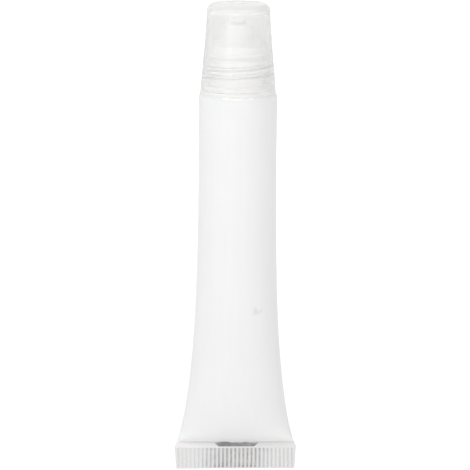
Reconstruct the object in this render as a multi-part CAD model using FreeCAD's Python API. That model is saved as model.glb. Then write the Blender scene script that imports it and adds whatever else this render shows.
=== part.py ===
"""A squeeze tube of lip gloss with a screw cap, in millimetres.

+Z runs up the tube from the crimped tail to the cap. The origin is the middle of the tail's cut end.
The crimp is wide along X and thin along Y. Each physical piece is one closed solid in its own file.
"""
import FreeCAD, Part
import math
import os

Vector = FreeCAD.Vector

# Sleeve: extruded tube, welded flat and ribbed at the tail
TUBE_DIAMETER = 16.0
SLEEVE_LENGTH = 78.55
SLEEVE_WALL = 0.45
TAPER_LENGTH = 52.0        # from the crimp up to where the sleeve is fully round
FLARE_DECAY = 17.0         # height over which the long flare dies away
TAIL_FLARE_DECAY = 2.0     # height over which the short flare beside the weld dies away
TAIL_FLARE_SHARE = 0.1     # share of the flare that is the short one
ROLL_RADIUS = 2.0          # rounding of the sleeve's upper edge
ROLL_TILT = 30.0           # degrees that the rounding turns through

# Crimp at the tail
RIB_HEIGHT = 4.4
CORNER_RISE = 0.3          # from the top of the ribs to the corners where the sleeve is at its widest
WELD_RISE = 1.0            # from those corners to where the two faces of the sleeve part
WEDGE_LENGTH = 1.5         # height over which the sleeve swells out above the weld
CAVITY_FLOOR_RISE = 0.8    # solid plastic in the wedge above the weld
CRIMP_THICKNESS = 0.9
CRIMP_PINCH = 0.05         # each side of the flat width lost to the fold
CRIMP_DRAFT = 0.27         # each side narrows this much down to the cut end
RIB_PITCH = 0.84
RIB_GROOVE_WIDTH = 0.42
RIB_GROOVE_FLOOR = 0.18
RIB_DEPTH = 0.13
RIB_LEAN = 0.6             # degrees, opposite ways on the two faces
RIB_EDGE_MARGIN = 0.3

# Head: shoulder and threaded neck, one moulding welded into the sleeve
BOND_GAP = 0.02
DRUM_HEIGHT = 0.8
DRUM_STEP = 0.03           # the drum stands this much inside the sleeve's rolled edge
DRUM_EDGE = 0.2
SHOULDER_THICKNESS = 1.2
SKIRT_LENGTH = 3.0
SKIRT_WALL = 0.8
NECK_DIAMETER = 10.0
NECK_WALL = 1.0
NECK_HEIGHT = 9.15
NECK_EDGE = 0.25

# Thread: single start, right-handed
THREAD_PITCH = 1.6
THREAD_DEPTH = 0.75
THREAD_CREST_WIDTH = 0.35
THREAD_FLANK_SLOPE = 1.0 / 3.0
THREAD_BURIAL = 0.3        # how far a ridge's root runs into the wall that carries it
THREAD_START = 2.85        # above the shoulder
THREAD_END_MARGIN = 1.1    # below the top of the neck
THREAD_CLEARANCE = 0.25

# Nozzle insert, snapped into the neck
INSERT_GAP = 0.02
INSERT_LENGTH = 5.0
INSERT_WALL = 0.7
BEAD_HEIGHT = 0.15
BEAD_LENGTH = 0.8
BEAD_GAP = 0.05
BEAD_RISE = 1.4            # centre of the bead above the insert's lower end
NOZZLE_FLANGE = 0.5
NOZZLE_FLANGE_MARGIN = 0.15
NOZZLE_LEDGE = 0.35        # flat ring of the flange outside the flare
NOZZLE_FLARE = 1.2
NOZZLE_HEIGHT = 4.5
NOZZLE_NARROWING = 0.4     # radius lost from the flare to the tip
NOZZLE_TIP_ROUNDING = 0.8
NOZZLE_WALL = 0.8
NOZZLE_ROOF = 1.1
ORIFICE_RADIUS = 0.6

# Cap and its seal plug
RIM_GAP = 0.15             # cap rim above the shoulder when fully screwed down
CAP_BORE_CLEARANCE = 0.3   # outside the neck's thread, at the top of that thread
CAP_WALL = 0.9
CAP_LOWER_TAPER = 5.1      # degrees, outside, from the rim up to the neck's top
CAP_UPPER_TAPER = 4.1      # degrees, outside, above that
CAP_BORE_TAPER = 3.6       # degrees, inside
CAP_TAPER_BLEND = 40.0
CAP_TOP_THICKNESS = 1.2
CAP_TOP_ROUNDING = 1.4
CAP_CEILING_ROUNDING = 0.5
CAP_RIM_ROUNDING = 0.12
CAP_THREAD_TURNS = 2.5
BOSS_RADIUS = 1.5
BOSS_LENGTH = 1.85
PLUG_STEM_RADIUS = 0.87
PLUG_STEM_LENGTH = 1.4
PLUG_RUNNING_GAP = 0.05
PLUG_END_GAP = 0.1
PLUG_HEAD_THICKNESS = 0.85
PLUG_SEAT_GAP = 0.1
PIP_RADIUS = 0.42
PIP_TIP_RADIUS = 0.3
PIP_LENGTH = 0.6

# Contents
FILL_GAP = 0.1

# How the tapering stretch is drawn
LOFT_SECTIONS = 12
LOFT_CROWDING = 1.8        # above 1, the sections crowd towards the weld
BISECTION_STEPS = 40

# Places worked out from the sizes above
TUBE_RADIUS = TUBE_DIAMETER / 2
CAVITY_RADIUS = TUBE_RADIUS - SLEEVE_WALL
TUBE_PERIMETER = math.pi * TUBE_DIAMETER
CRIMP_HALF_WIDTH = TUBE_PERIMETER / 4 - CRIMP_PINCH
CRIMP_HALF_THICKNESS = CRIMP_THICKNESS / 2
CRIMP_HEIGHT = RIB_HEIGHT + CORNER_RISE
WELD_TOP = CRIMP_HEIGHT + WELD_RISE
CAVITY_FLOOR = WELD_TOP + CAVITY_FLOOR_RISE
ROUND_FROM = CRIMP_HEIGHT + TAPER_LENGTH
ROLL_INSET = ROLL_RADIUS * (1 - math.cos(math.radians(ROLL_TILT)))
DRUM_RADIUS = TUBE_RADIUS - ROLL_INSET - DRUM_STEP
SHOULDER_TOP = SLEEVE_LENGTH + DRUM_HEIGHT
SHOULDER_UNDERSIDE = SHOULDER_TOP - SHOULDER_THICKNESS
SKIRT_RADIUS = CAVITY_RADIUS - BOND_GAP
SKIRT_BORE_RADIUS = SKIRT_RADIUS - SKIRT_WALL
SKIRT_BOTTOM = SLEEVE_LENGTH - SKIRT_LENGTH
NECK_RADIUS = NECK_DIAMETER / 2
NECK_BORE_RADIUS = NECK_RADIUS - NECK_WALL
NECK_TOP = SHOULDER_TOP + NECK_HEIGHT
THREAD_RADIUS = NECK_RADIUS + THREAD_DEPTH
THREAD_TURNS = (NECK_HEIGHT - THREAD_START - THREAD_END_MARGIN) / THREAD_PITCH
INSERT_RADIUS = NECK_BORE_RADIUS - INSERT_GAP
INSERT_BORE_RADIUS = INSERT_RADIUS - INSERT_WALL
INSERT_BOTTOM = NECK_TOP - INSERT_LENGTH
BEAD_MIDDLE = INSERT_BOTTOM + BEAD_RISE
FLANGE_RADIUS = NECK_RADIUS - NOZZLE_FLANGE_MARGIN
NOZZLE_BASE_RADIUS = FLANGE_RADIUS - NOZZLE_LEDGE - NOZZLE_FLARE
NOZZLE_TIP_RADIUS = NOZZLE_BASE_RADIUS - NOZZLE_NARROWING
NOZZLE_CHANNEL_RADIUS = NOZZLE_TIP_RADIUS - NOZZLE_WALL
NOZZLE_TOP = NECK_TOP + NOZZLE_HEIGHT
CHANNEL_TOP = NOZZLE_TOP - NOZZLE_ROOF
CAP_RIM = SHOULDER_TOP + RIM_GAP
PLUG_HEAD_BOTTOM = NOZZLE_TOP + PLUG_SEAT_GAP
BOSS_BOTTOM = PLUG_HEAD_BOTTOM + PLUG_HEAD_THICKNESS
CAP_CEILING = BOSS_BOTTOM + BOSS_LENGTH
CAP_TOP = CAP_CEILING + CAP_TOP_THICKNESS
CAP_BORE_RADIUS = THREAD_RADIUS + CAP_BORE_CLEARANCE


def unit(vector):
    return vector.normalize() if vector.Length else vector


def rounded_wire(points):
    """A closed wire in the XZ plane through (x, z, rounding) corners."""
    corners = [Vector(x, 0, z) for x, z, rounding in points]
    edges = []
    ends = []
    for index, corner in enumerate(corners):
        rounding = points[index][2]
        back = unit(corners[index - 1] - corner)
        ahead = unit(corners[(index + 1) % len(corners)] - corner)
        if not rounding:
            ends.append((corner, corner))
            continue
        half_angle = back.getAngle(ahead) / 2
        reach = rounding / math.tan(half_angle)
        middle = unit(back + ahead) * (rounding / math.sin(half_angle) - rounding)
        first, last = corner + back * reach, corner + ahead * reach
        edges.append(Part.Arc(first, corner + middle, last).toShape())
        ends.append((first, last))
    for index, (first, last) in enumerate(ends):
        next_first = ends[(index + 1) % len(ends)][0]
        if (next_first - last).Length > 1e-6:
            edges.append(Part.LineSegment(last, next_first).toShape())
    return Part.Wire(Part.sortEdges(edges)[0])


def turned(points):
    """A solid of revolution about Z from (radius, height, rounding) corners."""
    return Part.Face(rounded_wire(points)).revolve(Vector(0, 0, 0), Vector(0, 0, 1), 360)


def half_width(height):
    """Half of the sleeve's width along X at a height, from the crimp's corners up."""
    above = min(max(height - CRIMP_HEIGHT, 0), TAPER_LENGTH)
    long_flare = math.exp(-above / FLARE_DECAY) * (1 - (above / TAPER_LENGTH) ** 2)
    short_flare = math.exp(-above / TAIL_FLARE_DECAY) * (1 - above / TAPER_LENGTH)
    flare = (1 - TAIL_FLARE_SHARE) * long_flare + TAIL_FLARE_SHARE * short_flare
    return TUBE_RADIUS + (CRIMP_HALF_WIDTH - TUBE_RADIUS) * flare


def ellipse_perimeter(a, b):
    ratio = ((a - b) / (a + b)) ** 2
    return math.pi * (a + b) * (1 + 3 * ratio / (10 + math.sqrt(4 - 3 * ratio)))


def half_depth(height):
    """Half of the sleeve's depth along Y: its perimeter stays the tube's own, but for the wedge at the weld."""
    width = half_width(height)
    low, high = 0.0, TUBE_RADIUS
    for step in range(BISECTION_STEPS):
        middle = (low + high) / 2
        if ellipse_perimeter(width, middle) < TUBE_PERIMETER:
            low = middle
        else:
            high = middle
    swelling = math.sqrt(1 - math.exp((WELD_TOP - height) / WEDGE_LENGTH))
    return min(max(low * swelling, CRIMP_HALF_THICKNESS), width)


def flattened_loft(bottom, inset):
    """The tapering stretch of the sleeve, moved inwards by inset, from bottom up to where it is round."""
    sections = []
    for index in range(LOFT_SECTIONS):
        height = bottom + (ROUND_FROM - bottom) * (index / LOFT_SECTIONS) ** LOFT_CROWDING
        ellipse = Part.Ellipse(Vector(0, 0, height), half_width(height) - inset, half_depth(height) - inset)
        sections.append(Part.Wire(ellipse.toShape()))
    round_end = Part.Circle(Vector(0, 0, ROUND_FROM), Vector(0, 0, 1), TUBE_RADIUS - inset)
    sections.append(Part.Wire(round_end.toShape()))
    return Part.makeLoft(sections, True, False)


def crimp_plate():
    """The welded tail: a flat plate with upright grooves pressed into both faces."""
    cut_end = CRIMP_HALF_WIDTH - CRIMP_DRAFT
    weld_end = half_width(WELD_TOP)
    right_side = [
        (cut_end, 0),
        (CRIMP_HALF_WIDTH, RIB_HEIGHT),
        (CRIMP_HALF_WIDTH, CRIMP_HEIGHT),
        (weld_end, WELD_TOP),
    ]
    left_side = [(-x, z) for x, z in reversed(right_side)]
    corners = [Vector(x, -CRIMP_HALF_THICKNESS, z) for x, z in right_side + left_side]
    plate = Part.Face(Part.makePolygon(corners + corners[:1])).extrude(Vector(0, CRIMP_THICKNESS, 0))
    return plate.cut(Part.makeCompound(rib_grooves(cut_end)))


def rib_grooves(cut_end):
    """Cutters for both faces: each one's mouth lies as far outside the face as its floor lies inside."""
    count = int(2 * (cut_end - RIB_EDGE_MARGIN) / RIB_PITCH)
    grooves = []
    floor_half = RIB_GROOVE_FLOOR / 2
    mouth_half = RIB_GROOVE_WIDTH - floor_half
    for face in (-1, 1):
        floor = face * (CRIMP_HALF_THICKNESS - RIB_DEPTH)
        mouth = face * (CRIMP_HALF_THICKNESS + RIB_DEPTH)
        section = [(-mouth_half, mouth), (-floor_half, floor), (floor_half, floor), (mouth_half, mouth)]
        for index in range(count):
            x = (index - (count - 1) / 2) * RIB_PITCH
            corners = [Vector(x + dx, y, -RIB_HEIGHT) for dx, y in section]
            groove = Part.Face(Part.makePolygon(corners + corners[:1])).extrude(Vector(0, 0, 2 * RIB_HEIGHT))
            groove.rotate(Vector(x, 0, RIB_HEIGHT), Vector(0, 1, 0), face * RIB_LEAN)
            grooves.append(groove)
    return grooves


def tube_sleeve():
    barrel = turned([
        (0, ROUND_FROM, 0),
        (TUBE_RADIUS, ROUND_FROM, 0),
        (TUBE_RADIUS, SLEEVE_LENGTH - ROLL_INSET / math.tan(math.radians(ROLL_TILT)), ROLL_RADIUS),
        (TUBE_RADIUS - ROLL_INSET, SLEEVE_LENGTH, 0),
        (0, SLEEVE_LENGTH, 0),
    ])
    outside = flattened_loft(WELD_TOP, 0).fuse(barrel).fuse(crimp_plate())
    barrel_cavity = Part.makeCylinder(CAVITY_RADIUS, SLEEVE_LENGTH - ROUND_FROM, Vector(0, 0, ROUND_FROM))
    cavity = flattened_loft(CAVITY_FLOOR, SLEEVE_WALL).fuse(barrel_cavity)
    return outside.cut(cavity)


def thread_ridge(root_radius, crest_radius, start, turns):
    """A right-handed helical ridge. Its crest is outside its root on a screw and inside it on a nut."""
    crest = THREAD_CREST_WIDTH / 2
    root = crest + abs(crest_radius - root_radius) * THREAD_FLANK_SLOPE
    section = [(root_radius, -root), (crest_radius, -crest), (crest_radius, crest), (root_radius, root)]
    corners = [Vector(x, 0, start + z) for x, z in section]
    profile = Part.makePolygon(corners + corners[:1])
    helix = Part.makeLongHelix(THREAD_PITCH, turns * THREAD_PITCH, root_radius)
    helix.translate(Vector(0, 0, start))
    return Part.Wire(helix.Edges).makePipeShell([profile], True, True)


def tube_head():
    """Shoulder drum, welding skirt inside the sleeve, and threaded neck with a groove for the insert's bead."""
    groove_radius = NECK_BORE_RADIUS + BEAD_HEIGHT + BEAD_GAP
    groove_half = BEAD_LENGTH / 2 + BEAD_GAP
    body = turned([
        (SKIRT_BORE_RADIUS, SKIRT_BOTTOM, 0),
        (SKIRT_RADIUS, SKIRT_BOTTOM, 0),
        (SKIRT_RADIUS, SLEEVE_LENGTH, 0),
        (DRUM_RADIUS, SLEEVE_LENGTH, 0),
        (DRUM_RADIUS, SHOULDER_TOP, DRUM_EDGE),
        (NECK_RADIUS, SHOULDER_TOP, 0),
        (NECK_RADIUS, NECK_TOP, NECK_EDGE),
        (NECK_BORE_RADIUS, NECK_TOP, 0),
        (NECK_BORE_RADIUS, BEAD_MIDDLE + groove_half, 0),
        (groove_radius, BEAD_MIDDLE + groove_half - BEAD_HEIGHT, 0),
        (groove_radius, BEAD_MIDDLE - groove_half + BEAD_HEIGHT, 0),
        (NECK_BORE_RADIUS, BEAD_MIDDLE - groove_half, 0),
        (NECK_BORE_RADIUS, SHOULDER_UNDERSIDE, 0),
        (SKIRT_BORE_RADIUS, SHOULDER_UNDERSIDE, 0),
    ])
    ridge = thread_ridge(NECK_RADIUS - THREAD_BURIAL, THREAD_RADIUS, SHOULDER_TOP + THREAD_START, THREAD_TURNS)
    return body.fuse(ridge)


def nozzle_tip():
    """Applicator insert: snap skirt in the neck, flange on the neck's rim, flared nozzle with its orifice."""
    bead_radius = INSERT_RADIUS + BEAD_HEIGHT
    return turned([
        (INSERT_BORE_RADIUS, INSERT_BOTTOM, 0),
        (INSERT_RADIUS, INSERT_BOTTOM, 0),
        (INSERT_RADIUS, BEAD_MIDDLE - BEAD_LENGTH / 2, 0),
        (bead_radius, BEAD_MIDDLE - BEAD_LENGTH / 2 + BEAD_HEIGHT, 0),
        (bead_radius, BEAD_MIDDLE + BEAD_LENGTH / 2 - BEAD_HEIGHT, 0),
        (INSERT_RADIUS, BEAD_MIDDLE + BEAD_LENGTH / 2, 0),
        (INSERT_RADIUS, NECK_TOP, 0),
        (FLANGE_RADIUS, NECK_TOP, 0),
        (FLANGE_RADIUS, NECK_TOP + NOZZLE_FLANGE, NOZZLE_FLANGE / 2),
        (NOZZLE_BASE_RADIUS, NECK_TOP + NOZZLE_FLANGE, NOZZLE_FLARE),
        (NOZZLE_TIP_RADIUS, NOZZLE_TOP, NOZZLE_TIP_ROUNDING),
        (ORIFICE_RADIUS, NOZZLE_TOP, 0),
        (ORIFICE_RADIUS, CHANNEL_TOP, 0),
        (NOZZLE_CHANNEL_RADIUS, CHANNEL_TOP, 0),
        (NOZZLE_CHANNEL_RADIUS, NECK_TOP + NOZZLE_FLANGE, 0),
        (INSERT_BORE_RADIUS, NECK_TOP - INSERT_WALL, 0),
    ])


def screw_cap():
    """Closed cap with an inside thread and a boss under its ceiling that holds the seal plug."""
    thread_top = NECK_TOP - THREAD_END_MARGIN
    lower_slope = math.tan(math.radians(CAP_LOWER_TAPER))
    upper_slope = math.tan(math.radians(CAP_UPPER_TAPER))
    bore_slope = math.tan(math.radians(CAP_BORE_TAPER))
    bend_radius = CAP_BORE_RADIUS + CAP_WALL
    rim_radius = bend_radius + (thread_top - CAP_RIM) * lower_slope
    top_radius = bend_radius - (CAP_TOP - thread_top) * upper_slope
    rim_bore = CAP_BORE_RADIUS + (thread_top - CAP_RIM) * bore_slope
    ceiling_bore = CAP_BORE_RADIUS - (CAP_CEILING - thread_top) * bore_slope
    socket_radius = PLUG_STEM_RADIUS + PLUG_RUNNING_GAP
    socket_top = BOSS_BOTTOM + PLUG_STEM_LENGTH + PLUG_END_GAP
    shell = turned([
        (rim_bore, CAP_RIM, CAP_RIM_ROUNDING),
        (rim_radius, CAP_RIM, CAP_RIM_ROUNDING),
        (bend_radius, thread_top, CAP_TAPER_BLEND),
        (top_radius, CAP_TOP, CAP_TOP_ROUNDING),
        (0, CAP_TOP, 0),
        (0, socket_top, 0),
        (socket_radius, socket_top, 0),
        (socket_radius, BOSS_BOTTOM, 0),
        (BOSS_RADIUS, BOSS_BOTTOM, 0),
        (BOSS_RADIUS, CAP_CEILING, 0),
        (ceiling_bore, CAP_CEILING, CAP_CEILING_ROUNDING),
    ])
    ridge = thread_ridge(
        rim_bore + THREAD_BURIAL / 2,
        NECK_RADIUS + THREAD_CLEARANCE,
        SHOULDER_TOP + THREAD_START - THREAD_PITCH / 2,
        CAP_THREAD_TURNS,
    )
    return shell.fuse(ridge)


def cap_seal_plug():
    """Soft plug: a stem in the cap's boss, a flat head over the nozzle, and a pip in the orifice."""
    return turned([
        (0, PLUG_HEAD_BOTTOM - PIP_LENGTH, 0),
        (PIP_TIP_RADIUS, PLUG_HEAD_BOTTOM - PIP_LENGTH, 0),
        (PIP_RADIUS, PLUG_HEAD_BOTTOM, 0),
        (BOSS_RADIUS, PLUG_HEAD_BOTTOM, 0),
        (BOSS_RADIUS, BOSS_BOTTOM, 0),
        (PLUG_STEM_RADIUS, BOSS_BOTTOM, 0),
        (PLUG_STEM_RADIUS, BOSS_BOTTOM + PLUG_STEM_LENGTH, 0),
        (0, BOSS_BOTTOM + PLUG_STEM_LENGTH, 0),
    ])


def gloss_fill():
    """The gloss, which fills the sleeve, the neck and the nozzle's channel up to the orifice."""
    top_column = turned([
        (0, ROUND_FROM, 0),
        (CAVITY_RADIUS - FILL_GAP, ROUND_FROM, 0),
        (CAVITY_RADIUS - FILL_GAP, SKIRT_BOTTOM - FILL_GAP, 0),
        (SKIRT_BORE_RADIUS - FILL_GAP, SKIRT_BOTTOM - FILL_GAP, 0),
        (SKIRT_BORE_RADIUS - FILL_GAP, SHOULDER_UNDERSIDE - FILL_GAP, 0),
        (NECK_BORE_RADIUS - FILL_GAP, SHOULDER_UNDERSIDE - FILL_GAP, 0),
        (NECK_BORE_RADIUS - FILL_GAP, INSERT_BOTTOM - FILL_GAP, 0),
        (INSERT_BORE_RADIUS - FILL_GAP, INSERT_BOTTOM - FILL_GAP, 0),
        (INSERT_BORE_RADIUS - FILL_GAP, NECK_TOP - INSERT_WALL - FILL_GAP, 0),
        (NOZZLE_CHANNEL_RADIUS - FILL_GAP, NECK_TOP + NOZZLE_FLANGE - FILL_GAP, 0),
        (NOZZLE_CHANNEL_RADIUS - FILL_GAP, CHANNEL_TOP - FILL_GAP, 0),
        (0, CHANNEL_TOP - FILL_GAP, 0),
    ])
    return flattened_loft(CAVITY_FLOOR + FILL_GAP, SLEEVE_WALL + FILL_GAP).fuse(top_column)


def main():
    os.makedirs("parts", exist_ok=True)
    pieces = {
        "tube_sleeve": tube_sleeve,
        "tube_head": tube_head,
        "nozzle_tip": nozzle_tip,
        "gloss_fill": gloss_fill,
        "screw_cap": screw_cap,
        "cap_seal_plug": cap_seal_plug,
    }
    for name, build in pieces.items():
        shape = build()
        shape.exportStep(f"parts/{name}.step")
        box = shape.optimalBoundingBox()
        print(f"{name}: {len(shape.Solids)} solid, valid {shape.isValid()}, volume {shape.Volume:.1f} mm3, "
              f"X {box.XMin:.2f} to {box.XMax:.2f}, Y {box.YMin:.2f} to {box.YMax:.2f}, "
              f"Z {box.ZMin:.2f} to {box.ZMax:.2f}")


main()
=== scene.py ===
import math

import bpy
import numpy as np
from mathutils import Matrix, Vector


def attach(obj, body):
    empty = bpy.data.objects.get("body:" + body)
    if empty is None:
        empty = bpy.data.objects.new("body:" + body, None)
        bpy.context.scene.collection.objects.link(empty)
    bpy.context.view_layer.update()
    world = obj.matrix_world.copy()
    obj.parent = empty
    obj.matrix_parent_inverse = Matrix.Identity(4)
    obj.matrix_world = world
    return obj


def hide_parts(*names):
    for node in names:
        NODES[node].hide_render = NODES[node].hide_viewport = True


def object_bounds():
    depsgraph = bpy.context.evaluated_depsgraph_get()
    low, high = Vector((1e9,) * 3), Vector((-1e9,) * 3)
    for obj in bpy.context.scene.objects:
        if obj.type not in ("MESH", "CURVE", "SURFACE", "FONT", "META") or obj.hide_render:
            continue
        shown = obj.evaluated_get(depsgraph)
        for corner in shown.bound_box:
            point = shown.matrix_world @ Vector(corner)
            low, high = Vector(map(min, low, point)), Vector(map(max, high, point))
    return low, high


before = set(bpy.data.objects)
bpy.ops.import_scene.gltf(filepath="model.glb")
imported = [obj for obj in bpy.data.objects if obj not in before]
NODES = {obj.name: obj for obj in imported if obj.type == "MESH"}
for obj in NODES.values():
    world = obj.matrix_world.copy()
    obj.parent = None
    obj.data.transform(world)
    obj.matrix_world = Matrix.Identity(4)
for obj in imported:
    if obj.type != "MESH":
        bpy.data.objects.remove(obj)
cad_low, cad_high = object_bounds()

MM = 0.001


# ---------------------------------------------------------------- sizes, mm and degrees

BARREL = 8.0            # radius of the sleeve's round part
MAX_HALF = 12.516       # half the crimp's width at its widest
END_HALF = 12.246       # and at its cut end
PLATE = 0.45            # half the crimp's thickness
WALL = 0.45             # thickness of the sleeve's wall
RIB_TOP = 4.4           # the crimp's ribs end here
CREST_Z = 4.7           # the flat plate ends here, and the smooth web starts
WELD_TOP = 5.7          # the two walls part here
BARREL_START = 56.7     # the sleeve is round from here up
DENTS_END = 74.0        # the wall's unevenness has died out here
ROLL_START = 77.55      # the top edge starts to roll in here
SLEEVE_TOP = 78.55
INSET = 0.004           # keeps the skin's columns inside the CAD box
COLUMNS = 600           # points round each of the sleeve's rings

RIB_PITCH = 0.84
RIB_DEPTH = 0.13
RIB_MIDDLE = 2.2        # the ribs lean about this height
FRONT_LEAN, BACK_LEAN = 0.9, -1.3
SHOWING_LEAN = -3.2     # the back's ribs, as painted shade showing through from the front
PLATE_CORNER = 0.28     # the flat plate's rounded long edges

RIM_Z = 79.5            # the cap's open end
CAP_TOP = 97.0
CAP_CORNER = 1.4        # radius of the cap's top edge
CEILING = 95.8          # inside of the cap's top
TAPER_BREAK = 87.4      # the cap's outside changes its taper about here
BREAK_RADIUS = 6.95
LOWER_TAPER, UPPER_TAPER = 5.1, 4.1
BORE_RADIUS = 6.05      # at the break
BORE_TAPER = 3.6
RIM_OUTSIDE, RIM_INSIDE = 0.18, 0.22    # radii of the rim's two edges
BOSS_RADIUS, BOSS_END = 1.5, 93.95
SOCKET_RADIUS, SOCKET_TOP = 0.92, 95.45
GATE_DIP, GATE_RING = 0.05, 0.08        # the gate mark's depth, and its ring's

THREAD_PITCH = 1.6
THREAD_START = 81.4     # the cap's thread
THREAD_TURNS = 2.5
THREAD_CREST = 5.25     # radius of its ridge
THREAD_FLAT = 0.175     # half the ridge's width
THREAD_SLOPE = 3.0
THREAD_RUN_IN = 0.12    # turns over which it grows and dies away


# ---------------------------------------------------------------- mesh helpers

def mesh_object(name, verts, faces, mats, sharp, face_mats=None):
    """A smooth-shaded object from points in millimetres. Edges above the sharp angle stay sharp."""
    mesh = bpy.data.meshes.new(name)
    mesh.from_pydata([tuple(v) for v in np.asarray(verts, float) * MM], [], faces)
    mesh.update()
    mesh.polygons.foreach_set("use_smooth", [True] * len(mesh.polygons))
    for mat in mats:
        mesh.materials.append(mat)
    if face_mats is not None:
        mesh.polygons.foreach_set("material_index", face_mats)
    mesh.validate()
    mesh.set_sharp_from_angle(angle=math.radians(sharp))
    obj = bpy.data.objects.new(name, mesh)
    bpy.context.scene.collection.objects.link(obj)
    return obj


def ring_faces(first, second, count):
    """Quads between two rings of count points, starting at those indices."""
    i = np.arange(count)
    j = (i + 1) % count
    return np.column_stack([first + i, first + j, second + j, second + i]).tolist()


def lathe(name, rings, count, mats, radius_at, sharp):
    """A closed turned body. rings: (radius, z) pairs in order, with radius 0 only at the two ends.
    radius_at(index, radius, z, angles) gives the radii round each other ring."""
    angles = np.linspace(0, 2 * math.pi, count, endpoint=False)
    last = len(rings) - 1
    verts, starts = [], []
    for k, (r, z) in enumerate(rings):
        starts.append(len(verts))
        if k in (0, last):
            verts.append((0.0, 0.0, z))
            continue
        for a, q in zip(angles, radius_at(k, r, z, angles)):
            verts.append((q * math.cos(a), q * math.sin(a), z))
    faces = []
    for k in range(last):
        a, b = starts[k], starts[k + 1]
        for i in range(count):
            j = (i + 1) % count
            if k == 0:
                faces.append((a, b + i, b + j))
            elif k == last - 1:
                faces.append((a + j, a + i, b))
            else:
                faces.append((a + j, a + i, b + i, b + j))
    return mesh_object(name, verts, faces, mats, sharp)


def arc(cr, cz, radius, start, end, steps):
    """Points round an arc, angles in degrees, first and last included."""
    out = []
    for k in range(steps + 1):
        a = math.radians(start + (end - start) * k / steps)
        out.append((cr + radius * math.cos(a), cz + radius * math.sin(a)))
    return out


def run(r0, z0, r1, z1, steps):
    """Points along a straight run, without its first point."""
    return [(r0 + (r1 - r0) * k / steps, z0 + (z1 - z0) * k / steps) for k in range(1, steps + 1)]


def clamped(value):
    return min(max(value, 0), 1)


# ---------------------------------------------------------------- material helpers

def tint(level, blue):
    """An opaque colour with the same red and green."""
    return (level, level, blue, 1)


class Graph:
    """A small helper for node materials."""

    def __init__(self, name):
        self.mat = bpy.data.materials.new(name)
        self.mat.use_nodes = True
        self.tree = self.mat.node_tree
        self.nodes = self.tree.nodes
        self.bsdf = self.nodes["Principled BSDF"]
        self.coords = self.nodes.new("ShaderNodeTexCoord").outputs["Object"]
        self.axes = None

    def link(self, a, b):
        self.tree.links.new(a, b)

    def put(self, value, socket):
        """A number or colour is set on the socket, and anything else is linked to it."""
        if isinstance(value, (int, float, tuple)):
            socket.default_value = value
        else:
            self.link(value, socket)

    def math(self, op, a, b=None, c=None, clamp=False):
        n = self.nodes.new("ShaderNodeMath")
        n.operation = op
        n.use_clamp = clamp
        for i, v in enumerate((a, b, c)):
            if v is not None:
                self.put(v, n.inputs[i])
        return n.outputs[0]

    def times(self, first, *others):
        for other in others:
            first = self.math("MULTIPLY", first, other)
        return first

    def axis(self, which):
        """The object-space x, y or z in millimetres."""
        if self.axes is None:
            n = self.nodes.new("ShaderNodeSeparateXYZ")
            self.link(self.coords, n.inputs[0])
            self.axes = n.outputs
        return self.times(self.axes["XYZ".index(which)], 1000.0)

    def stretched(self, sx, sy, sz):
        n = self.nodes.new("ShaderNodeMapping")
        n.inputs["Scale"].default_value = (sx, sy, sz)
        self.link(self.coords, n.inputs["Vector"])
        return n.outputs[0]

    def noise(self, scale, detail=3.0, rough=0.5, vector=None):
        n = self.nodes.new("ShaderNodeTexNoise")
        n.inputs["Scale"].default_value = scale
        n.inputs["Detail"].default_value = detail
        n.inputs["Roughness"].default_value = rough
        self.link(vector or self.coords, n.inputs["Vector"])
        return n.outputs["Fac"]

    def span(self, value, a, b, low, high, smooth=True):
        """low where value is a, high where it is b, and between them in between."""
        n = self.nodes.new("ShaderNodeMapRange")
        n.interpolation_type = "SMOOTHSTEP" if smooth else "LINEAR"
        for i, v in enumerate((value, a, b, low, high)):
            self.put(v, n.inputs[i])
        return n.outputs[0]

    def spread(self, noise, low, high, smooth=True):
        """The middle of a noise's range, stretched to low..high."""
        return self.span(noise, 0.3, 0.7, low, high, smooth)

    def near(self, value, centre, half, soft):
        """1 where value is within half of centre, falling to 0 over soft."""
        off = self.math("ABSOLUTE", self.math("SUBTRACT", value, centre))
        return self.span(off, half, half + soft, 1.0, 0.0)

    def mix(self, fac, a, b):
        n = self.nodes.new("ShaderNodeMix")
        n.data_type = "RGBA"
        self.put(fac, n.inputs["Factor"])
        self.put(a, n.inputs[6])
        self.put(b, n.inputs[7])
        return n.outputs[2]

    def bump(self, height, strength, distance, normal=None):
        n = self.nodes.new("ShaderNodeBump")
        n.inputs["Strength"].default_value = strength
        n.inputs["Distance"].default_value = distance
        self.link(height, n.inputs["Height"])
        if normal is not None:
            self.link(normal, n.inputs["Normal"])
        return n.outputs[0]

    def set(self, **values):
        for key, value in values.items():
            self.put(value, self.bsdf.inputs[key.replace("_", " ")])


# ---------------------------------------------------------------- materials

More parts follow.
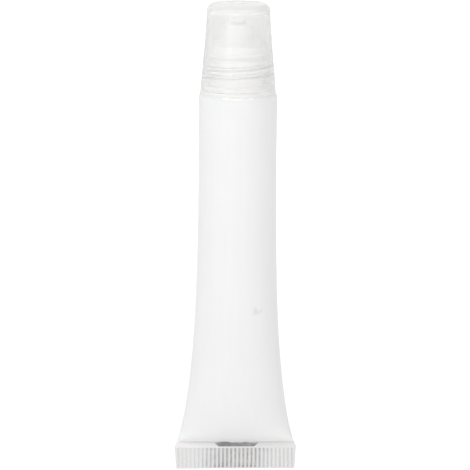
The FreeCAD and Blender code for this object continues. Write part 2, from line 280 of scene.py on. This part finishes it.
def sleeve_material():
    """Milky soft polyethylene with a satin surface, fine drawn lines, one small dark spot, and painted
    shade towards the bottom.
    """
    g = Graph("sleeve_plastic")
    x, y, z = g.axis("X"), g.axis("Y"), g.axis("Z")
    cloud = g.noise(70.0, 2.0, 0.5)
    lines = g.noise(1.0, 3.0, 0.6, vector=g.stretched(1500.0, 1500.0, 26.0))
    tone = g.math("ADD", g.spread(cloud, -0.5, 0.5), g.spread(lines, -0.5, 0.5))
    tone = g.span(tone, -1.0, 1.0, 0.0, 1.0, False)
    colour = g.mix(tone, tint(0.93, 0.927), tint(0.905, 0.902))
    # painted shade: the wall is coloured darker towards the crimp, where it turns downwards
    painted_shade_low = g.span(z, WELD_TOP, 19.0, 0.12, 0.0)
    colour = g.mix(painted_shade_low, colour, tint(0.83, 0.827))

    # a small darker spot on the front of the wall, ragged at its edge
    dark_spot_x, dark_spot_z, dark_spot_flat = 3.75, 34.45, 1.25
    dx = g.math("SUBTRACT", x, dark_spot_x)
    dz = g.times(g.math("SUBTRACT", z, dark_spot_z), dark_spot_flat)
    far = g.math("SQRT", g.math("ADD", g.math("POWER", dx, 2.0), g.math("POWER", dz, 2.0)))
    ragged = g.math("ADD", far, g.spread(g.noise(900.0, 2.0), -0.5, 0.5))
    front = g.span(y, -1.0, 0.0, 1.0, 0.0)
    dark_spot = g.times(g.span(ragged, 0.25, 1.25, 0.30, 0.0), front)
    colour = g.mix(dark_spot, colour, tint(0.62, 0.61))

    rough = g.spread(g.noise(240.0, 3.0, 0.6), 0.28, 0.33)
    rough = g.times(rough, g.span(z, 77.6, 78.1, 1.0, 0.5))     # the rolled edge is shinier
    fine = g.noise(3800.0, 3.0, 0.6)
    drawn = g.noise(1.0, 2.0, 0.5, vector=g.stretched(2600.0, 2600.0, 60.0))
    normal = g.bump(fine, 0.25, 0.000012)
    normal = g.bump(drawn, 0.25, 0.000012, normal)
    normal = g.bump(cloud, 0.35, 0.00012, normal)
    g.set(Base_Color=colour, Roughness=rough, Normal=normal)
    g.set(IOR=1.5, Subsurface_Weight=0.25, Subsurface_Scale=0.0012)
    g.set(Subsurface_Radius=(1.0, 1.0, 0.97))
    return g.mat


def weld_material():
    """The flattened tail: two walls melted together, with the jaw's ribs pressed into both faces, and
    painted shade and painted dark reflection on its grooves, its middle, its lens and the line where
    the walls part.
    """
    g = Graph("sleeve_weld")
    x, z = g.axis("X"), g.axis("Z")
    wander = g.spread(g.noise(420.0, 3.0, 0.6), -0.5, 0.5, False)

    def ribs(lean, soft):
        """1 in the middle of each groove, and 0 from soft of a pitch away: where the grooves' painted
        shade goes.
        """
        height = g.math("SUBTRACT", z, RIB_MIDDLE)
        along = g.math("MULTIPLY_ADD", height, math.tan(math.radians(lean)), x)
        share = g.math("DIVIDE", g.math("MULTIPLY_ADD", wander, 0.10, along), RIB_PITCH)
        off = g.math("ABSOLUTE", g.math("SUBTRACT", share, g.math("ROUND", share)))
        return g.span(off, 0.10, soft, 1.0, 0.0)

    # painted shade in the grooves, darkest in the middle and stronger to the right than to the left,
    # with the back's grooves painted as seen through low down, and a painted dark reflection across the
    # middle
    in_ribs = g.times(g.span(z, 0.1, 0.35, 0.0, 1.0), g.span(z, 4.2, 4.5, 1.0, 0.0))
    middle = g.near(x, -0.2, 3.2, 5.5)
    side = g.span(x, -9.0, 6.0, 0.07, 0.20)
    front = g.times(ribs(FRONT_LEAN, 0.32), g.math("MULTIPLY_ADD", middle, 0.33, side))
    painted_shade_low = g.span(z, 0.3, 3.6, 0.55, 0.16)
    back = g.times(ribs(SHOWING_LEAN, 0.34), g.times(middle, painted_shade_low))
    both = g.math("ADD", g.math("MAXIMUM", front, back), g.times(middle, 0.11))
    both = g.times(both, in_ribs)
    dark = g.times(both, g.spread(g.noise(900.0, 2.0, 0.5), 0.7, 1.1))

    # painted shade and painted dark reflection: the dark lens under the line where the two walls part,
    # and the line itself
    line_z = 5.60
    off = g.math("ABSOLUTE", g.math("SUBTRACT", x, 0.2))
    bottom = g.span(off, 3.5, 4.9, 4.64, 5.54)
    waves = g.span(g.noise(300.0, 2.0), 0.35, 0.65, -0.5, 0.5)
    top = g.math("MULTIPLY_ADD", waves, 0.30, line_z)
    lens = g.times(
        g.span(g.math("SUBTRACT", top, z), -0.04, 0.08, 0.0, 1.0),
        g.span(g.math("SUBTRACT", z, bottom), -0.03, 0.09, 0.0, 1.0),
        g.span(off, 4.6, 5.1, 1.0, 0.0),
        g.span(g.noise(620.0, 3.0, 0.6), 0.32, 0.68, 0.66, 0.92),
    )
    wavy_z = g.math("MULTIPLY_ADD", wander, 0.12, z)
    line = g.times(g.near(wavy_z, line_z, 0.04, 0.10), g.span(off, 4.0, 11.5, 0.34, 0.05))
    dark = g.math("MAXIMUM", dark, g.math("MAXIMUM", lens, line), clamp=True)

    # painted shade: the web is coloured darker to the right, away from the stronger left lamp
    web = g.mix(g.span(x, -2.0, 10.0, 0.0, 1.0), tint(0.865, 0.862), tint(0.795, 0.792))
    base = g.mix(g.span(z, 4.3, CREST_Z, 0.0, 1.0), tint(0.785, 0.781), web)
    # the painted shade and dark reflection darken the colour towards near black
    colour = g.mix(dark, base, tint(0.20, 0.20))
    rough = g.spread(g.noise(700.0, 3.0, 0.6), 0.16, 0.28)
    normal = g.bump(g.noise(2600.0, 3.0, 0.6), 0.2, 0.000012)
    g.set(Base_Color=colour, Roughness=rough, Normal=normal)
    g.set(IOR=1.5, Subsurface_Weight=0.1, Subsurface_Scale=0.0005)
    return g.mat


def cap_material():
    """Frosted clear polypropylene, milkier in its thick top and rim."""
    g = Graph("cap_plastic")
    z = g.axis("Z")
    top, rim = g.span(z, 94.6, 96.0, 0.0, 1.0), g.span(z, 79.8, 80.9, 1.0, 0.0)
    milky = g.math("MAXIMUM", top, rim)
    cloud = g.noise(160.0, 3.0, 0.5)
    colour = g.mix(g.spread(cloud, 0.0, 1.0), tint(0.97, 0.965), tint(0.945, 0.94))
    colour = g.mix(milky, colour, tint(0.915, 0.91))
    rough = g.spread(g.noise(500.0, 4.0, 0.6), 0.19, 0.24)
    flow = g.noise(1.0, 2.0, 0.5, vector=g.stretched(420.0, 420.0, 25.0))
    normal = g.bump(flow, 0.25, 0.00002)
    g.set(Base_Color=colour, Roughness=rough, Normal=normal)
    g.set(Transmission_Weight=g.span(milky, 0.0, 1.0, 0.76, 0.52), IOR=1.49)
    return g.mat


def moulded_material(name, light, dark, rough_low, rough_high):
    """Natural moulded polyethylene, a little milky."""
    g = Graph(name)
    cloud = g.noise(240.0, 3.0, 0.5)
    colour = g.mix(g.spread(cloud, 0.0, 1.0), light, dark)
    rough = g.spread(g.noise(700.0, 4.0, 0.6), rough_low, rough_high)
    normal = g.bump(g.noise(3200.0, 3.0, 0.6), 0.3, 0.000015)
    g.set(Base_Color=colour, Roughness=rough, Normal=normal)
    g.set(IOR=1.5, Subsurface_Weight=0.12, Subsurface_Scale=0.0008)
    return g.mat


def gloss_material():
    """Thick clear lip gloss with a few fine bubbles."""
    g = Graph("lip_gloss")
    cloud = g.noise(130.0, 3.0, 0.5)
    bubbles = g.nodes.new("ShaderNodeTexVoronoi")
    bubbles.inputs["Scale"].default_value = 900.0
    g.link(g.coords, bubbles.inputs["Vector"])
    spot = g.span(bubbles.outputs["Distance"], 0.05, 0.16, 1.0, 0.0)
    colour = g.mix(g.spread(cloud, 0.0, 1.0), (0.90, 0.89, 0.88, 1), (0.86, 0.85, 0.84, 1))
    colour = g.mix(g.times(spot, 0.5), colour, tint(0.97, 0.97))
    g.set(Base_Color=colour, Roughness=g.spread(cloud, 0.06, 0.1))
    g.set(Normal=g.bump(spot, 0.3, 0.00003))
    g.set(IOR=1.46, Subsurface_Weight=0.3, Subsurface_Scale=0.002, Coat_Weight=0.3)
    return g.mat


SLEEVE = sleeve_material()
WELD = weld_material()
CAP = cap_material()
HEAD = moulded_material("head_plastic", tint(0.875, 0.855), tint(0.84, 0.816), 0.28, 0.40)
NOZZLE = moulded_material("nozzle_plastic", tint(0.81, 0.80), tint(0.775, 0.762), 0.24, 0.34)
PLUG = moulded_material("plug_plastic", tint(0.84, 0.83), tint(0.80, 0.788), 0.35, 0.50)
GLOSS = gloss_material()


# ---------------------------------------------------------------- the sleeve

def half_width(z):
    """The flare from the round part down to the crimp."""
    above = min(max(z - CREST_Z, 0.0), BARREL_START - CREST_Z)
    share = above / (BARREL_START - CREST_Z)
    flare = 0.9 * math.exp(-above / 17) * (1 - share ** 2)
    flare += 0.1 * math.exp(-above / 2) * (1 - share)
    return BARREL + (MAX_HALF - BARREL) * flare


def perimeter(a, b):
    """An ellipse's, by Ramanujan's formula."""
    return math.pi * (3 * (a + b) - math.sqrt((3 * a + b) * (a + 3 * b)))


def half_depth(z):
    """The depth that keeps the sleeve's perimeter, closing to the flat plate at the weld."""
    a = half_width(z)
    low, high = 0.01, BARREL
    for _ in range(50):
        mid = (low + high) / 2
        if perimeter(a, mid) < 2 * math.pi * BARREL:
            low = mid
        else:
            high = mid
    swell = math.sqrt(max(1 - math.exp((WELD_TOP - z) / 1.5), 0.0))
    return min(max(low * swell, PLATE), a)


def evenly(x, y):
    """COLUMNS points at equal lengths along a closed outline, from its first point."""
    length = np.concatenate([[0], np.cumsum(np.hypot(np.diff(x), np.diff(y)))])
    want = np.linspace(0, length[-1], COLUMNS, endpoint=False)
    return np.column_stack([np.interp(want, length, x), np.interp(want, length, y)])


def outline(a, b, power):
    """A superellipse's outline, from its +X end."""
    t = np.linspace(0, 2 * math.pi, 6001)
    c, s = np.cos(t), np.sin(t)
    x = a * np.sign(c) * np.abs(c) ** (2 / power)
    y = b * np.sign(s) * np.abs(s) ** (2 / power)
    return evenly(x, y)


def plate_outline(a, b, corner):
    """A flat bar's outline with rounded corners, from its +X end."""
    points = [(a, 0.0)]
    for cx, cy, start in ((a - corner, b - corner, 0), (-a + corner, b - corner, 90),
                          (-a + corner, -b + corner, 180), (a - corner, -b + corner, 270)):
        points += arc(cx, cy, corner, start, start + 90, 12)
    points.append((a, 0.0))
    x, y = np.array(points).T
    return evenly(x, y)


def plate_half(z):
    """The crimp's half width, a little less towards its cut end."""
    return min(END_HALF + (MAX_HALF - END_HALF) * z / RIB_TOP, MAX_HALF)


def groove(x, z, lean):
    """How deep the crimp's grooves are here, from 0 to 1."""
    off = (x + (z - RIB_MIDDLE) * np.tan(np.radians(lean))) / RIB_PITCH
    d = np.abs(off - np.round(off)) * RIB_PITCH
    return np.clip((0.21 - d) / 0.12, 0, 1)


rng = np.random.default_rng(7)
WAVES = [
    (rng.uniform(0.05, 0.16), rng.uniform(1, 4), rng.uniform(0, 6.28), rng.uniform(0.3, 1))
    for _ in range(7)
]


def dent(z, side):
    """Slow unevenness of the soft wall, with a slight waist, from 0 to about 0.1 mm inwards."""
    total = np.zeros_like(side)
    for per_mm, round_it, phase, weight in WAVES:
        total += weight * np.sin(per_mm * z + np.round(round_it) * side + phase)
    below_top = clamped((DENTS_END - z) / 6)
    fade = clamped((z - 8) / 10) * below_top
    waist = math.exp(-((z - 62) / 9) ** 2) * 0.05 * below_top
    return fade * 0.025 * (1 + total / 3) + waist


def dented(o, z, inset):
    """An outline moved towards the axis by inset and the wall's unevenness."""
    away = np.hypot(o[:, 0], o[:, 1])
    inwards = np.minimum(dent(z, np.arctan2(o[:, 1], o[:, 0])) + inset, away * 0.4)
    return o * (1 - inwards / away)[:, None]


def sleeve_rings():
    """The sleeve's rings as (z, outline, kind): up the outside, over the rim and down the inside."""
    rings = []
    for z, inset, corner in ((0.0, 0.10, 0.24), (0.03, 0.045, 0.26), (0.10, 0.0, PLATE_CORNER),
                             (0.28, 0.0, PLATE_CORNER)):
        rings.append((z, plate_outline(plate_half(z) - inset, PLATE - inset, corner), "plate"))
    for z in (0.6, 1.2, 1.8, 2.4, 3.0, 3.6, 4.0, 4.12, 4.22, 4.32, RIB_TOP, 4.5, CREST_Z):
        rings.append((z, plate_outline(plate_half(z), PLATE, PLATE_CORNER), "plate"))
    for z in (4.85, 5.0, 5.15, 5.3, 5.45, 5.6):
        rings.append((z, plate_outline(half_width(z), PLATE, PLATE_CORNER), "web"))

    swelling = (0.5, 2, 4.5, 8, 13, 20, 30, 43, 60, 82, 110, 145, 190, 245)
    high = list(WELD_TOP + 0.012 * np.array(swelling))
    high += list(np.linspace(9.6, BARREL_START, 52)) + list(np.linspace(58.5, 75.3, 12))
    high += list(np.linspace(75.6, ROLL_START - 0.02, 9))
    for z in high:
        power = 2 + 5 * math.exp(-(z - WELD_TOP) / 0.9)
        o = outline(half_width(z), half_depth(z), power)
        rings.append((z, dented(o, z, INSET), "wall"))
    for r, z in arc(BARREL - 2.0, ROLL_START, 2.0, 0, 30, 8):
        rings.append((z, outline(r - INSET, r - INSET, 2), "wall"))
    for r, z in ((7.60, SLEEVE_TOP), (7.56, SLEEVE_TOP - 0.10), (BARREL - WALL, 77.0)):
        rings.append((z, outline(r, r, 2), "wall"))

    low = list(np.linspace(75, BARREL_START, 8)) + list(np.linspace(54, 9.6, 24))
    for z in low + [8.6, 7.8, 7.2, 6.9, 6.7]:
        o = outline(half_width(z) - WALL, max(half_depth(z) - WALL, 0.10), 2)
        rings.append((z, dented(o, z, 0.0), "inside"))
    return rings


def build_sleeve():
    rings = sleeve_rings()
    verts = []
    for z, o, kind in rings:
        x, y = o[:, 0], o[:, 1]
        on_face = np.abs(y) > 0.2
        if kind == "plate":
            rise = clamped((z - 0.02) / 0.2) * clamped((RIB_TOP - z) / 0.28)
            flat = np.clip((12.0 - np.abs(x)) / 0.25, 0, 1) * on_face
            lean = np.where(y < 0, FRONT_LEAN, BACK_LEAN)
            y = np.sign(y) * (np.abs(y) - RIB_DEPTH * rise * flat * groove(x, z, lean))
        if kind == "web":
            swell = math.sin(math.pi * (z - CREST_Z) / (WELD_TOP - CREST_Z))
            y = np.sign(y) * (np.abs(y) - 0.10 * swell * np.exp(-(x / 7.0) ** 4) * on_face)
        verts.append(np.column_stack([x, y, np.full(COLUMNS, z)]))
    faces, mats = [], []
    for k in range(len(rings) - 1):
        part = ring_faces(k * COLUMNS, (k + 1) * COLUMNS, COLUMNS)
        faces += part
        mats += [1 if rings[k][2] in ("plate", "web") else 0] * len(part)
    half = COLUMNS // 2

    def lid(start, flip, mat):
        """Faces across a ring. The first and last also take in the ring's end point."""
        for i in range(1, half - 1):
            face = [start + i, start + i + 1, start + COLUMNS - i - 1, start + COLUMNS - i]
            if i == 1:
                face.append(start)
            if i == half - 2:
                face.insert(2, start + half)
            faces.append(face[::-1] if flip else face)
            mats.append(mat)

    lid(0, True, 1)
    lid((len(rings) - 1) * COLUMNS, False, 0)
    obj = mesh_object("tube_sleeve_skin", np.vstack(verts), faces, (SLEEVE, WELD), 30.0, mats)
    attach(obj, "tube")
    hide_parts("tube_sleeve")


# ---------------------------------------------------------------- the cap

def thread_offset(angles, z):
    """How far z is from the nearest thread centre at each angle, and how full the thread is."""
    best = np.full(len(angles), 9.0)
    full = np.zeros(len(angles))
    for k in range(-1, int(THREAD_TURNS) + 2):
        turned = angles / (2 * math.pi) + k
        off = np.abs(z - (THREAD_START + THREAD_PITCH * turned))
        run_in = np.clip(turned / THREAD_RUN_IN, 0, 1)
        inside = run_in * np.clip((THREAD_TURNS - turned) / THREAD_RUN_IN, 0, 1)
        nearer = (off < best) & (inside > 0)
        best = np.where(nearer, off, best)
        full = np.where(nearer, inside, full)
    return best, full


def cap_outside(z):
    lower = BREAK_RADIUS + (TAPER_BREAK - z) * math.tan(math.radians(LOWER_TAPER))
    upper = BREAK_RADIUS + (TAPER_BREAK - z) * math.tan(math.radians(UPPER_TAPER))
    share = clamped((z - (TAPER_BREAK - 0.35)) / 0.7)
    return lower + (upper - lower) * share * share * (3 - 2 * share)


def cap_bore(z):
    return BORE_RADIUS + (TAPER_BREAK - z) * math.tan(math.radians(BORE_TAPER))


def build_cap():
    # the top, from the gate mark in its middle out to the rounded edge
    dip, ring = CAP_TOP - GATE_DIP, CAP_TOP - GATE_RING
    rings = [(0.0, dip), (0.25, dip), (0.34, ring), (0.80, ring), (1.0, dip)]
    rings += run(1.0, dip, 1.2, CAP_TOP, 2)
    edge = cap_outside(CAP_TOP - CAP_CORNER) - CAP_CORNER * 0.95
    rings += run(1.2, CAP_TOP, edge, CAP_TOP, 10)
    rings += arc(edge, CAP_TOP - CAP_CORNER, CAP_CORNER, 90, 4, 14)[1:]
    # the outside, down to the rim
    for z in np.linspace(rings[-1][1], RIM_Z + RIM_OUTSIDE, 46)[1:]:
        rings.append((min(cap_outside(z), 7.643), z))
    r = rings[-1][0]
    rings += arc(r - RIM_OUTSIDE, RIM_Z + RIM_OUTSIDE, RIM_OUTSIDE, 0, -90, 4)[1:]
    inner = cap_bore(RIM_Z) + RIM_INSIDE
    rings += run(rings[-1][0], RIM_Z, inner, RIM_Z, 3)
    rings += arc(inner, RIM_Z + RIM_INSIDE, RIM_INSIDE, 270, 180, 4)[1:]
    # the bore with its thread, up to the ceiling
    first_bore = len(rings)
    threaded = list(np.linspace(RIM_Z + 0.3, 80.7, 6)) + list(np.arange(80.75, 86.1, 0.055))
    rings += [(cap_bore(z), z) for z in threaded]
    last_bore = len(rings)
    corner = 0.5
    rings += [(cap_bore(z), z) for z in np.linspace(86.3, CEILING - corner, 18)]
    rings += arc(cap_bore(CEILING - corner) - corner, CEILING - corner, corner, 0, 90, 5)[1:]
    # the boss that holds the seal plug, and its socket
    root, tip = 0.3, 0.1
    rings += run(rings[-1][0], CEILING, BOSS_RADIUS + root, CEILING, 8)
    rings += arc(BOSS_RADIUS + root, CEILING - root, root, 90, 180, 4)[1:]
    rings += run(BOSS_RADIUS, CEILING - root, BOSS_RADIUS, BOSS_END + tip, 4)
    rings += arc(BOSS_RADIUS - tip, BOSS_END + tip, tip, 0, -90, 2)[1:]
    rings += [(SOCKET_RADIUS + 0.10, BOSS_END), (SOCKET_RADIUS + 0.01, BOSS_END + 0.09),
              (SOCKET_RADIUS, SOCKET_TOP - 0.10), (SOCKET_RADIUS - 0.08, SOCKET_TOP - 0.01),
              (0.0, SOCKET_TOP)]

    def radius_at(k, r, z, angles):
        rr = np.full(len(angles), float(r))
        if first_bore <= k < last_bore:
            off, full = thread_offset(angles, z)
            ridge = THREAD_CREST + THREAD_SLOPE * np.clip(off - THREAD_FLAT, 0, None)
            ridge = ridge + (1 - full) * (r - THREAD_CREST)
            return np.minimum(rr, np.maximum(ridge, THREAD_CREST))
        return rr

    obj = lathe("screw_cap_shell", rings, 240, (CAP,), radius_at, 35.0)
    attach(obj, "cap")
    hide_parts("screw_cap")
    obj.visible_shadow = False      # a thin clear cap hardly dims what is inside
    obj.visible_diffuse = False


def dress(node, material):
    """A CAD piece that is shown as it is, with its own material."""
    obj = NODES[node]
    obj.data.materials.clear()
    obj.data.materials.append(material)


build_sleeve()
build_cap()
dress("tube_head", HEAD)
dress("nozzle_tip", NOZZLE)
dress("cap_seal_plug", PLUG)
dress("gloss_fill", GLOSS)


# ---------------------------------------------------------------- floor

FLOOR_SEEN = 1.08       # as the camera sees it, a blank white sheet
FLOOR_LIT = 1.00        # what it gives back to the tube
FLOOR_MIRRORED = 0.82   # what glossy surfaces reflect of it
FLOOR_THROUGH = 0.71    # what shows through the clear cap
FLOOR_HALF = 6.0        # m


def floor():
    mesh = bpy.data.meshes.new("floor")
    s = FLOOR_HALF
    mesh.from_pydata([(-s, -s, 0), (s, -s, 0), (s, s, 0), (-s, s, 0)], [], [(0, 1, 2, 3)])
    obj = bpy.data.objects.new("floor", mesh)
    bpy.context.scene.collection.objects.link(obj)
    obj.location = (0, 0, cad_low.z - 0.0002)
    mat = bpy.data.materials.new("floor_white")
    mat.use_nodes = True
    tree = mat.node_tree
    tree.nodes.clear()
    out = tree.nodes.new("ShaderNodeOutputMaterial")
    glow = tree.nodes.new("ShaderNodeEmission")
    path = tree.nodes.new("ShaderNodeLightPath")

    def plus(base, ray, low, high):
        """base, plus high for that kind of ray and low for any other."""
        n = tree.nodes.new("ShaderNodeMapRange")
        tree.links.new(path.outputs[ray], n.inputs[0])
        n.inputs[3].default_value, n.inputs[4].default_value = low, high
        total = tree.nodes.new("ShaderNodeMath")
        total.operation = "ADD"
        tree.links.new(n.outputs[0], total.inputs[0])
        if base is None:
            total.inputs[1].default_value = 0.0
        else:
            tree.links.new(base, total.inputs[1])
        return total.outputs[0]

    bright = plus(None, "Is Camera Ray", FLOOR_LIT, FLOOR_SEEN)
    bright = plus(bright, "Is Glossy Ray", 0.0, FLOOR_MIRRORED - FLOOR_LIT)
    bright = plus(bright, "Is Transmission Ray", 0.0, FLOOR_THROUGH - FLOOR_MIRRORED)
    tree.links.new(bright, glow.inputs["Strength"])
    tree.links.new(glow.outputs[0], out.inputs["Surface"])
    mesh.materials.append(mat)


floor()


# ---------------------------------------------------------------- light

def facing(azimuth, elevation):
    """The direction from the tube to a lamp or camera. Azimuth 0 is in front, positive to the right."""
    a, e = math.radians(azimuth), math.radians(elevation)
    return Vector((math.sin(a) * math.cos(e), -math.cos(a) * math.cos(e), math.sin(e)))


def softbox(name, azimuth, elevation, distance, width, height, power):
    """A rectangular lamp that faces the middle of the tube. Lengths in metres, power in watts."""
    data = bpy.data.lights.new(name, "AREA")
    data.shape = "RECTANGLE"
    data.size, data.size_y = width, height
    data.energy = power
    obj = bpy.data.objects.new(name, data)
    bpy.context.scene.collection.objects.link(obj)
    back = facing(azimuth, elevation)
    obj.location = Vector((0, 0, 0.05)) + back * distance
    obj.rotation_mode = "QUATERNION"
    obj.rotation_quaternion = (-back).to_track_quat("-Z", "Y")


softbox("key_left", -47, 41, 0.6, 0.12, 0.13, 0.75)
softbox("key_right", 42, 41, 0.6, 0.08, 0.11, 0.36)
softbox("strip_left", -34, 3.6, 0.6, 0.20, 0.12, 0.06)
softbox("front_fill", -6, 38, 0.82, 0.35, 0.30, 1.28)


def sky():
    """A pale room, lighter behind the tube than in front, and a little darker to the right."""
    world = bpy.data.worlds.new("room")
    bpy.context.scene.world = world
    world.use_nodes = True
    tree = world.node_tree
    tree.nodes.clear()
    out = tree.nodes.new("ShaderNodeOutputWorld")
    back = tree.nodes.new("ShaderNodeBackground")
    coord = tree.nodes.new("ShaderNodeTexCoord")
    split = tree.nodes.new("ShaderNodeSeparateXYZ")
    tree.links.new(coord.outputs["Generated"], split.inputs[0])

    def ranged(socket, a, b, low, high):
        n = tree.nodes.new("ShaderNodeMapRange")
        n.interpolation_type = "SMOOTHSTEP"
        tree.links.new(socket, n.inputs[0])
        for i, v in enumerate((a, b, low, high)):
            n.inputs[i + 1].default_value = v
        return n.outputs[0]

    def times(a, b):
        n = tree.nodes.new("ShaderNodeMath")
        n.operation = "MULTIPLY"
        tree.links.new(a, n.inputs[0])
        tree.links.new(b, n.inputs[1])
        return n.outputs[0]

    behind = ranged(split.outputs[1], -0.2, 0.98, 0.64, 1.35)
    across = ranged(split.outputs[0], -1.0, 1.0, 0.925, 0.91)
    path = tree.nodes.new("ShaderNodeLightPath")
    through = ranged(path.outputs["Is Transmission Ray"], 0.0, 1.0, 1.0, 1.22)
    strength = times(times(behind, across), through)
    tree.links.new(strength, back.inputs["Strength"])
    tree.links.new(back.outputs[0], out.inputs["Surface"])


sky()


# ---------------------------------------------------------------- camera

def camera():
    """The photograph's view: slightly from above and from the left, and a touch rolled."""
    distance, elevation, azimuth, roll = 1.0, 10.3, -3.0, 0.44
    pixels_per_mm, image_side = 4.87, 470
    target = Vector((-0.00040, 0.0, 0.04905))
    data = bpy.data.cameras.new("camera")
    obj = bpy.data.objects.new("camera", data)
    bpy.context.scene.collection.objects.link(obj)
    data.sensor_width = 36.0
    data.lens = data.sensor_width * pixels_per_mm * distance / MM / image_side
    back = facing(azimuth, elevation)
    obj.location = target + back * distance
    turn = (-back).to_track_quat("-Z", "Y").to_matrix()
    turn = turn @ Matrix.Rotation(math.radians(roll), 3, "Z")
    obj.rotation_mode = "QUATERNION"
    obj.rotation_quaternion = turn.to_quaternion()
    data.clip_start, data.clip_end = 0.05, 20.0
    bpy.context.scene.camera = obj


camera()

scene = bpy.context.scene
scene.view_settings.view_transform = "Standard"
scene.view_settings.look = "None"
scene.view_settings.exposure = 0.0
scene.view_settings.gamma = 1.0
scene.cycles.max_bounces = 24
scene.cycles.transmission_bounces = 20
scene.cycles.glossy_bounces = 6
scene.cycles.diffuse_bounces = 5
scene.cycles.sample_clamp_indirect = 3.0
